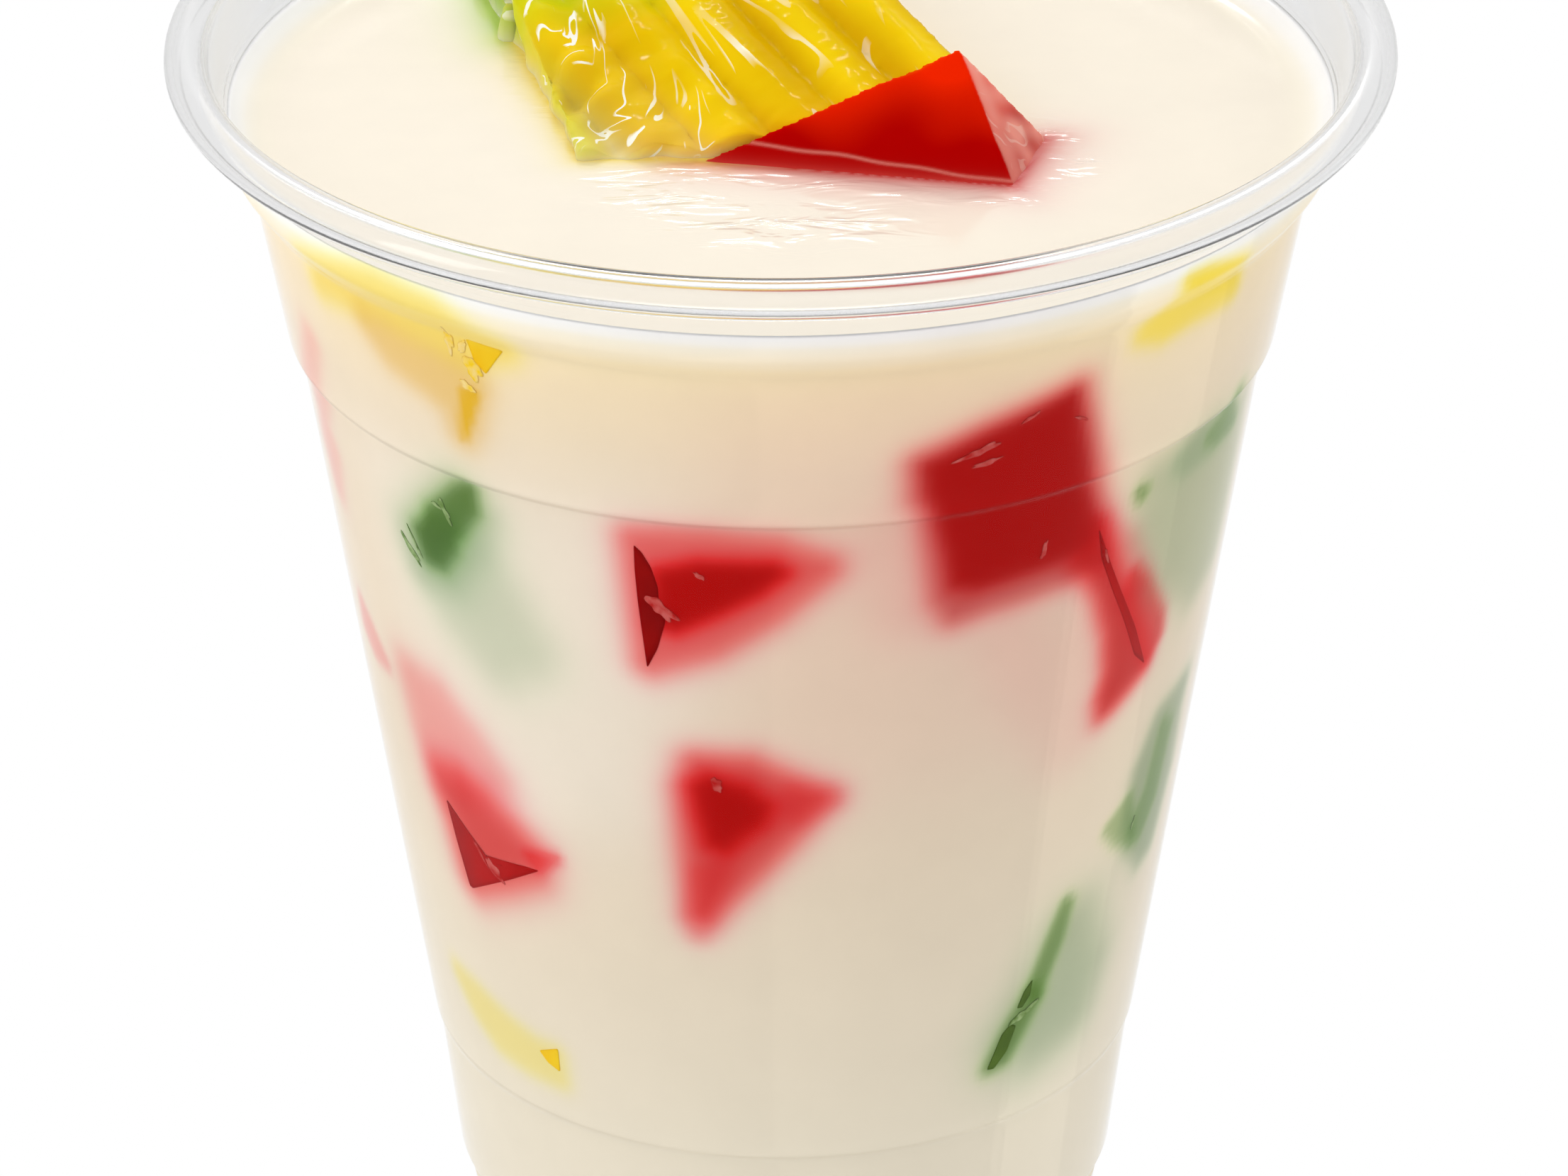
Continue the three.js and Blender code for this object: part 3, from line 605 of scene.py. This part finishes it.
WINDOW_DEPTH = 0.14  # how far a window reaches into the wall
WINDOW_THICKNESS = 0.1
WINDOW_RINGS = 6
CORNER_CUT = 0.07  # share of a side that wear takes off at each of its ends
# The deep and the bright shade between which each kind of gelatin is cloudy.
BLOCK_BODY = {"red": ("#8C0606", "#B40E0E"), "green": ("#3F6420", "#5C7D34"),
              "yellow": ("#EEB80A", "#F6CE1C")}
WINDOW_BODY = {"red": ("#9C0303", "#B20808"), "dark_red": ("#780204", "#900404"),
               "green": ("#3C5420", "#56702C"), "yellow": ("#F2BC0E", "#F6D02A")}
WINDOWS = [  # colour and outline of each window, in degrees from the front and height
    ("dark_red", [(-17.5, 80.3), (-16.6, 79.7), (-15.6, 78.4), (-14.9, 76.6), (-14.9, 75.4), (-14.2, 73.4),
                  (-15.4, 70.7), (-16.9, 68.7), (-17.2, 71.8), (-17.5, 75.1), (-17.6, 78.1)]),
    ("red", [(-54.6, 48.6), (-53.7, 44.9), (-52.2, 40.4), (-43.0, 43.5), (-36.6, 45.8), (-39.7, 45.7),
             (-44.4, 44.6), (-48.1, 44.9), (-51.1, 46.9)]),
    ("red", [(40.8, 77.6), (43.3, 74.2), (46.7, 70.2), (50.7, 66.0), (54.7, 61.3), (51.8, 62.9),
             (48.4, 66.9), (45.0, 70.7), (42.0, 74.5)]),
    ("green", [(33.5, 26.2), (35.6, 29.4), (37.1, 30.2), (38.2, 29.8), (37.0, 27.5), (34.8, 26.1)]),
    ("green", [(38.0, 31.6), (39.0, 33.1), (40.4, 34.0), (40.3, 32.5), (39.0, 31.5)]),
    ("yellow", [(-35.1, 97.2), (-30.4, 96.9), (-31.6, 95.7), (-33.1, 94.2), (-34.4, 95.1)]),
    ("yellow", [(-41.9, 26.7), (-37.8, 27.7), (-38.0, 25.3), (-40.4, 25.8)]),
]


def two_tone_jelly(name, deep, bright, scale):
    """Gelatin behind plastic, without a gloss of its own: cloudy between two shades of its colour."""
    jelly = bpy.data.materials.new(name)
    jelly.use_nodes = True
    tree = jelly.node_tree
    shader = tree.nodes["Principled BSDF"]
    spot = add_node(tree, "ShaderNodeTexCoord")
    cloud = add_node(tree, "ShaderNodeTexNoise", {
        "Vector": spot.outputs["Object"], "Scale": scale, "Detail": 3.0})
    share = add_node(tree, "ShaderNodeMapRange", {
        "Value": cloud.outputs["Fac"], "From Min": 0.3, "From Max": 0.65, "To Min": 0.0, "To Max": 1.0})
    colour = add_node(tree, "ShaderNodeMix", {
        "Factor": share.outputs["Result"], "A": linear(deep), "B": linear(bright)}, data_type="RGBA")
    tree.links.new(colour.outputs["Result"], shader.inputs["Base Color"])
    shader.inputs["Roughness"].default_value = 0.6
    shader.inputs["Specular IOR Level"].default_value = 0.0
    return jelly


def wall_patch(azimuth, height, depth, thickness, bulge):
    """A thin patch that follows the wall: rings of places, the outer one first, given by azimuth in
    degrees and height. Its front lies depth inside the plastic and rises by the bulge, its back
    lies the thickness behind. Returns points in millimetres and faces."""
    rings, sides = azimuth.shape
    z = np.stack([height, height])
    radius = inner_radius(z) + depth + np.stack([bulge, -thickness + 0 * bulge])
    angle = np.radians(np.stack([azimuth, azimuth]))
    points = np.stack([radius * np.sin(angle), -radius * np.cos(angle), z], axis=-1).reshape(-1, 3)
    ring = np.arange(sides)
    onward = (ring + 1) % sides
    back = rings * sides
    faces = []
    for base, flip in ((0, 1), (back, -1)):
        for i in range(rings - 1):
            a, b = base + i * sides, base + (i + 1) * sides
            quads = np.column_stack([a + ring, a + onward, b + onward, b + ring])
            faces += [quad[::flip] for quad in quads.tolist()]
        faces.append((base + (rings - 1) * sides + ring).tolist()[::flip])
    faces += np.column_stack([ring, back + ring, back + onward, onward]).tolist()
    return points, faces


def joined(patches):
    """Several patches as one list of points and one of faces."""
    points, faces = np.zeros((0, 3)), []
    for more, quads in patches:
        faces += [[corner + len(points) for corner in quad] for quad in quads]
        points = np.vstack([points, more])
    return points, faces


def worn_outline(corners, rounds=2):
    """A closed outline, run anticlockwise, with every corner cut off in each round: a side from a
    to b keeps the stretch from a + CORNER_CUT (b - a) to b - CORNER_CUT (b - a)."""
    outline = np.array(corners, float)
    turn = np.roll(outline, -1, axis=0)
    if (outline[:, 0] * turn[:, 1] - turn[:, 0] * outline[:, 1]).sum() < 0:
        outline = outline[::-1]
    for _ in range(rounds):
        onward = np.roll(outline, -1, axis=0)
        cut = CORNER_CUT * (onward - outline)
        outline = np.stack([outline + cut, onward - cut], axis=1).reshape(-1, 2)
    return outline


def merged(node_name):
    """The CAD node's own mesh with its loose triangles merged: corners in millimetres and faces."""
    corners, index = np.unique(
        np.round(triangles_of(node_name).reshape(-1, 3), 4), axis=0, return_inverse=True)
    return corners, index.reshape(-1, 3).tolist()


block_materials = {tone: two_tone_jelly(tone + "_gelatin_at_wall", *colours, 130.0)
                   for tone, colours in BLOCK_BODY.items()}
for name in block_names:
    if name.endswith("_top"):
        continue
    corners, faces = merged(name)
    piece = add_piece(name + "_block", corners * MM, faces, block_materials[name.split("_")[0]])
    piece.data.polygons.foreach_set("use_smooth", [False] * len(piece.data.polygons))
    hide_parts(name)

ring_share = np.linspace(1, 0.08, WINDOW_RINGS)[:, None, None]
for tone, colours in WINDOW_BODY.items():
    patches = []
    for shown, corners in WINDOWS:
        if shown == tone:
            outline = worn_outline(corners)
            rings = outline.mean(0) + (outline - outline.mean(0)) * ring_share
            patches.append(wall_patch(rings[..., 0], rings[..., 1], WINDOW_DEPTH, WINDOW_THICKNESS,
                                      np.zeros(rings.shape[:2])))
    points, faces = joined(patches)
    window = add_piece("windows_" + tone, points * MM, faces,
                       two_tone_jelly(tone + "_gelatin_bare", *colours, 220.0))

# ---------------------------------------- milk flecks
# Where milk ran between a block and the wall it set as small pale ragged films. Each is a thin
# lens with an uneven outline, pressed to the wall's inside over a window.

FLECKS = [  # colour behind it, degrees from the front, height, half length, half width, lean in degrees
    ("red", -14.7, 74.6, 1.35, 0.6, -42), ("red", -9.8, 78.0, 0.5, 0.2, -40),
    ("yellow", -34.8, 94.4, 1.0, 0.8, 120), ("yellow", -35.9, 92.5, 0.7, 0.35, 150),
    ("yellow", -37.5, 96.4, 1.1, 0.4, 100), ("yellow", -35.8, 96.2, 0.8, 0.3, 60),
    ("green", -44.0, 78.7, 1.1, 0.3, -62), ("green", -45.4, 78.9, 0.6, 0.15, -20),
    ("green", -52.1, 73.1, 1.5, 0.3, -50), ("green", -50.9, 74.0, 1.2, 0.12, -62),
    ("green", 39.3, 30.8, 1.3, 0.35, 25), ("green", 59.8, 44.6, 0.6, 0.15, 74),
    ("red", -45.6, 43.9, 1.2, 0.45, -50), ("red", -48.3, 45.0, 1.2, 0.12, -58),
    ("red", 21.9, 88.8, 1.6, 0.35, 20), ("red", 22.9, 87.6, 1.3, 0.2, 10),
    ("red", 27.8, 91.0, 0.8, 0.15, 28), ("red", 34.6, 89.6, 0.6, 0.15, -27),
    ("red", 32.6, 77.4, 0.9, 0.2, 80), ("red", 42.9, 74.5, 0.8, 0.12, -72),
    ("red", -8.7, 58.0, 0.7, 0.4, -66),
]
FLECK_COLOURS = {"red": "#CC5F5A", "yellow": "#F3D890", "green": "#9DB47C"}
FLECK_RINGS, FLECK_SIDES = 5, 36
FLECK_BULGE, FLECK_THICKNESS = 0.03, 0.06
OVER_WINDOW = 0.02  # how much further than a window a fleck reaches into the wall


def fleck_patch(azimuth, height, length, width, lean, seed):
    """One lens on the wall: rings of points of radius s times an uneven outline, leaning, whose
    front rises by the bulge times (1 - s squared)."""
    draw = np.random.default_rng(seed)
    turn = np.arange(FLECK_SIDES) * (2 * np.pi / FLECK_SIDES)
    outline = 1 + sum(draw.uniform(0.08, 0.3) / k ** 0.5 * np.sin(k * turn + draw.uniform(0, 6.28))
                      for k in range(2, 8))
    s = np.linspace(1, 0.12, FLECK_RINGS)[:, None]
    along, aside = length * s * outline * np.cos(turn), width * s * outline * np.sin(turn)
    tilt = math.radians(lean)
    run = along * math.cos(tilt) - aside * math.sin(tilt)
    rise = along * math.sin(tilt) + aside * math.cos(tilt)
    return wall_patch(azimuth + np.degrees(run / inner_radius(height)), height + rise,
                      WINDOW_DEPTH + OVER_WINDOW, FLECK_THICKNESS, FLECK_BULGE * (1 - s ** 2) + 0 * run)


for tone, pale in FLECK_COLOURS.items():
    points, faces = joined([fleck_patch(*shape, seed) for seed, (behind, *shape) in enumerate(FLECKS)
                            if behind == tone])
    film = two_tone_jelly("milk_film_over_" + tone, BLOCK_BODY[tone][1], pale, 1200.0)
    flecks = add_piece("milk_flecks_" + tone, points * MM, faces, film)

# ---------------------------------------- blocks on top
# Three wet blocks of firm gelatin stand out of the milk: a slab turned out of a ridged tray,
# torn at its left end, a lime block behind it and a sharp red corner in front. Each is the
# solid's copy rebuilt from small even faces, then waved as cut jelly is.

SLAB_EDGE = np.array([17.6, -8.4, 105.1])  # front end of the slab's high right edge
SLAB_ALONG = np.array([-0.43, 0.88, 0.12])
SLAB_ACROSS = np.array([-0.87, -0.44, -0.18])
RIDGE_PITCH = 5.6
TORN_FROM, TORN_OVER = 15, 10  # across the slab: the tear begins there and is full so much further
RIDGE_WAVE, LUMP, FINE_WAVE = 0.10, 0.34, 0.03  # heights on its ridges, where torn, and all over
RED_DENT = 0.3  # how far the red corner presses into it
LARGEST_SCALE = 0.99  # of the grid that Blender's remesh lays round a mesh


def fine_copy(node_name, grain, rounds):
    """The CAD node's solid rebuilt from even faces of that grain in millimetres, its edges worn by
    rounds of smoothing: vertices in millimetres, vertex normals and faces of four."""
    corners, triangles = merged(node_name)
    mesh = bpy.data.meshes.new("coarse_copy")
    mesh.from_pydata((corners * MM).tolist(), [], triangles)
    coarse = bpy.data.objects.new("coarse_copy", mesh)
    bpy.context.scene.collection.objects.link(coarse)
    even = coarse.modifiers.new("even_faces", "REMESH")
    even.mode = "SHARP"
    even.use_remove_disconnected = False
    cells = np.ptp(corners, axis=0).max() / grain  # along the solid's longest side
    even.octree_depth = math.ceil(math.log2(cells / LARGEST_SCALE))
    even.scale = cells / 2 ** even.octree_depth
    worn = coarse.modifiers.new("worn_edges", "SMOOTH")
    worn.iterations = rounds
    fine = coarse.evaluated_get(bpy.context.evaluated_depsgraph_get()).to_mesh()
    place = np.empty(len(fine.vertices) * 3)
    fine.vertices.foreach_get("co", place)
    normal = np.empty(len(fine.vertices) * 3)
    fine.vertex_normals.foreach_get("vector", normal)
    index = np.empty(len(fine.loops), int)
    fine.loops.foreach_get("vertex_index", index)
    bpy.data.objects.remove(coarse)
    bpy.data.meshes.remove(mesh)
    return place.reshape(-1, 3) / MM, normal.reshape(-1, 3), index.reshape(-1, 4)


def waves(place, length, seed, count=14):
    """Smooth uneven heights, mostly between -1 and 1: the sum of sine waves of about the given
    length over the places, in directions and phases drawn from the seed."""
    draw = np.random.default_rng(seed)
    ways = draw.normal(size=(count, 3))
    ways *= 2 * np.pi / (length * draw.uniform(0.7, 1.4, count) * np.linalg.norm(ways, axis=1))[:, None]
    return np.sin(place @ ways.T + draw.uniform(0, 2 * np.pi, count)).sum(1) / math.sqrt(count)


def blend(shade, colour, share):
    """The shades mixed with one sRGB colour by each vertex's own share."""
    return shade + (np.array(linear(colour)[:3]) - shade) * np.clip(share, 0, 1)[:, None]


def wet_jelly(name, roughness, gloss):
    """Wet gelatin: the painted colour, light spread a millimetre or two inside, a sharp wet gloss
    and fine unevenness at 1 mm. Where painted_highlight says so, painted highlights wind over it as
    thin bright lines of caught light mixed into its colour: the places where a noise of about 3 mm
    is near its middle value, broken up by another."""
    material = bpy.data.materials.new(name)
    material.use_nodes = True
    tree = material.node_tree
    shader = tree.nodes["Principled BSDF"]
    painted = add_node(tree, "ShaderNodeAttribute", attribute_name="jelly_colour")
    flow = add_node(tree, "ShaderNodeAttribute", attribute_name="flow")
    caught = add_node(tree, "ShaderNodeAttribute", attribute_name="painted_highlight")
    winding = add_node(tree, "ShaderNodeTexNoise", {
        "Vector": flow.outputs["Vector"], "Scale": 0.30, "Detail": 1.0, "Distortion": 0.6})
    on_line = add_node(tree, "ShaderNodeMath", {
        0: winding.outputs["Fac"], 1: 0.5, 2: 0.020}, operation="COMPARE")
    patches = add_node(tree, "ShaderNodeTexNoise", {
        "Vector": flow.outputs["Vector"], "Scale": 0.42, "Detail": 0.0})
    shown = add_node(tree, "ShaderNodeMapRange", {
        "Value": patches.outputs["Fac"], "From Min": 0.47, "From Max": 0.56, "To Min": 0.0, "To Max": 1.0})
    line = add_node(tree, "ShaderNodeMath", {
        0: on_line.outputs[0], 1: shown.outputs["Result"]}, operation="MULTIPLY")
    share = add_node(tree, "ShaderNodeMath", {
        0: line.outputs[0], 1: caught.outputs["Fac"]}, operation="MULTIPLY")
    colour = add_node(tree, "ShaderNodeMix", {
        "Factor": share.outputs[0], "A": painted.outputs["Color"], "B": linear("#FFFCEC")},
        data_type="RGBA")
    spot = add_node(tree, "ShaderNodeTexCoord")
    grain = add_node(tree, "ShaderNodeTexNoise", {
        "Vector": spot.outputs["Object"], "Scale": 900.0, "Detail": 2.0})
    bump = add_node(tree, "ShaderNodeBump", {
        "Height": grain.outputs["Fac"], "Strength": 0.05, "Distance": 0.1 * MM})
    tree.links.new(colour.outputs["Result"], shader.inputs["Base Color"])
    tree.links.new(bump.outputs["Normal"], shader.inputs["Normal"])
    shader.inputs["Roughness"].default_value = roughness
    shader.inputs["IOR"].default_value = 1.36
    shader.inputs["Specular IOR Level"].default_value = gloss
    shader.inputs["Subsurface Weight"].default_value = 0.3
    shader.inputs["Subsurface Radius"].default_value = (1.0, 0.6, 0.2)
    shader.inputs["Subsurface Scale"].default_value = 1.2 * MM
    return material


def add_jelly(name, place, faces, shade, flow, painted_highlight, material, node_name):
    """A finished block on top: it replaces its CAD node. The flow is a place in millimetres for each
    vertex, along which lines of painted highlight run."""
    piece = add_piece(name, place * MM, faces.tolist(), material)
    paint(piece, "jelly_colour", np.column_stack([shade, np.ones(len(shade))]))
    piece.data.attributes.new("flow", "FLOAT_VECTOR", "POINT").data.foreach_set(
        "vector", flow.astype(np.float32).ravel())
    piece.data.attributes.new("painted_highlight", "FLOAT", "POINT").data.foreach_set(
        "value", painted_highlight.astype(np.float32))
    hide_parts(node_name)


# The slab: ridges run back and to the left; the left third is torn into lumps.
along = SLAB_ALONG / np.linalg.norm(SLAB_ALONG)
across = SLAB_ACROSS - SLAB_ACROSS @ along * along
across /= np.linalg.norm(across)
up = np.cross(along, across)
place, normal, faces = fine_copy("yellow_top", 0.33, 5)
local = (place - SLAB_EDGE) @ np.column_stack([across, along, up])
torn = np.clip((local[:, 0] - TORN_FROM) / TORN_OVER, 0, 1)
height = ((1 - torn) * RIDGE_WAVE * waves(local * [1, 0.22, 0.5], 2.4, 3)
          + torn * LUMP * waves(local, 4.2, 5) + FINE_WAVE * waves(local, 1.7, 8))
from_red = distance_to(triangles_of("red_top"), place)
height = height * np.clip((from_red - 0.3) / 1.2, 0, 1) - RED_DENT * np.exp(-from_red / 0.8)
# Painted light and shade on the ridges: their crests painted lighter, the valleys between darker, unevenly
# along them.
crest = np.abs(np.sin(np.pi * local[:, 0] / RIDGE_PITCH))
light = np.clip(0.5 + 0.5 * (crest - 0.6) + 0.28 * waves(local * [1, 0.25, 1], 6.5, 11), 0, 1)
shade = blend(blend(np.tile(linear("#E8BE05")[:3], (len(place), 1)), "#DBAC04", 1 - 2 * light),
              "#F7D20C", 2 * light - 1)
# Where it is torn its sides are painted lighter, a painted glow of light through the thin jelly;
# the faces of the clean cut at its right are painted darker; lime shows through its back corner,
# orange beside the red corner, and milk has crept up its foot.
shade = blend(shade, "#F7E03C", 0.8 * np.clip(1.2 - 2 * normal[:, 2], 0, 1) * torn)
right_side = normal @ -across
above_milk = place[:, 2] - MILK_LEVEL
shade = blend(shade, "#CFA505", np.clip((right_side - 0.5) * 3, 0, 1) * 0.9)
from_lime = distance_to(triangles_of("green_top"), place)
torn_end = np.clip((local[:, 0] - 26) / 6, 0, 1) * np.clip((local[:, 1] - 7) / 6, 0, 1)
shade = blend(shade, "#BED016", np.maximum(np.clip(0.95 - from_lime / 9, 0, 0.8), 0.8 * torn_end))
shade = blend(shade, "#F2AB0C", 0.6 * np.exp(-from_red / 2.5))
shade = blend(shade, "#F1E0AE", 0.8 * np.exp(-above_milk / (0.3 + 0.4 * torn)))
flow = local * np.column_stack([1 - 0.1 * torn, 0.14 + 0.86 * torn, np.ones(len(local))])
# Share of painted highlights, thin bright lines of caught light: most where it is torn.
painted_highlight = np.clip(0.35 + 0.65 * torn + 0.3 * waves(place, 9, 13), 0, 1)
add_jelly("yellow_top_slab", place + normal * height[:, None], faces, shade, flow, painted_highlight,
          wet_jelly("yellow_gelatin_wet", 0.05, 0.012), "yellow_top")

# The lime block: greener away from the slab, with milk on its foot.
place, normal, faces = fine_copy("green_top", 0.4, 6)
height = 0.3 * waves(place, 4.5, 21) + 0.05 * waves(place, 1.7, 22)
shade = np.tile(linear("#D8CF0A")[:3], (len(place), 1))
shade = blend(shade, "#8DBE30", np.clip((-17.0 - place[:, 0]) / 8 + 0.25 * waves(place, 5, 23), 0, 1))
shade = blend(shade, "#EDEBC4", np.clip(0.85 * np.exp(-(place[:, 2] - MILK_LEVEL) / 1.2), 0, 1))
# Painted highlights, thin bright lines of caught light, at a share of 0.6 all over.
add_jelly("green_top_block", place + normal * height[:, None], faces, shade, place,
          np.full(len(place), 0.6), wet_jelly("lime_gelatin_wet", 0.05, 0.012), "green_top")

# The red corner: painted lighter and orange-red towards its thin top, a painted glow of light
# through it, and deeper red below; milk smeared on its right face.
RED_FOOT_X = 17.5  # where its front edge stands in the milk
BANK_HIGHLIGHT_WIDTH = 0.10  # of the painted highlight, a bright line along the bank of syrup before it
place, normal, faces = fine_copy("red_top", 0.157, 12)
height = 0.05 * waves(place, 5, 31)
# Painted glow: the red is painted lighter and more orange the higher it stands.
light = np.clip((place[:, 2] - 102.5) / 5 + 0.2 * waves(place, 6, 32), 0, 1)
shade = blend(np.tile(linear("#B40000")[:3], (len(place), 1)), "#F02400", light)
facing_right = np.clip((normal[:, 0] * 0.9 + normal[:, 1] * 0.1 - 0.45) * 4, 0, 1)
smear = np.clip(0.75 + 0.25 * waves(place, 3, 33), 0, 1) * facing_right
shade = blend(shade, "#F4A090", smear)
above_milk = place[:, 2] - MILK_LEVEL
shade = blend(shade, "#E8554C", 0.45 * np.exp(-above_milk / 0.3))
# Syrup stands against its front in a low bank, whose edge catches the light: that light is painted
# on the red as a thin bright line, a painted highlight.
highlight_line_height = 0.2 + 0.06 * (RED_FOOT_X - place[:, 0]) + 0.08 * waves(place, 6, 34)
on_front = np.clip(-3 * normal[:, 1], 0, 1) * (1 - facing_right)
shade = blend(shade, "#F7A595", 0.45 * on_front * np.exp(-((above_milk - highlight_line_height) / BANK_HIGHLIGHT_WIDTH) ** 2))
# Painted highlights, thin bright lines of caught light, only on its right face at a fifth.
add_jelly("red_top_corner", place + normal * height[:, None], faces, shade, place, 0.2 * facing_right,
          wet_jelly("red_gelatin_wet", 0.06, 0.015), "red_top")
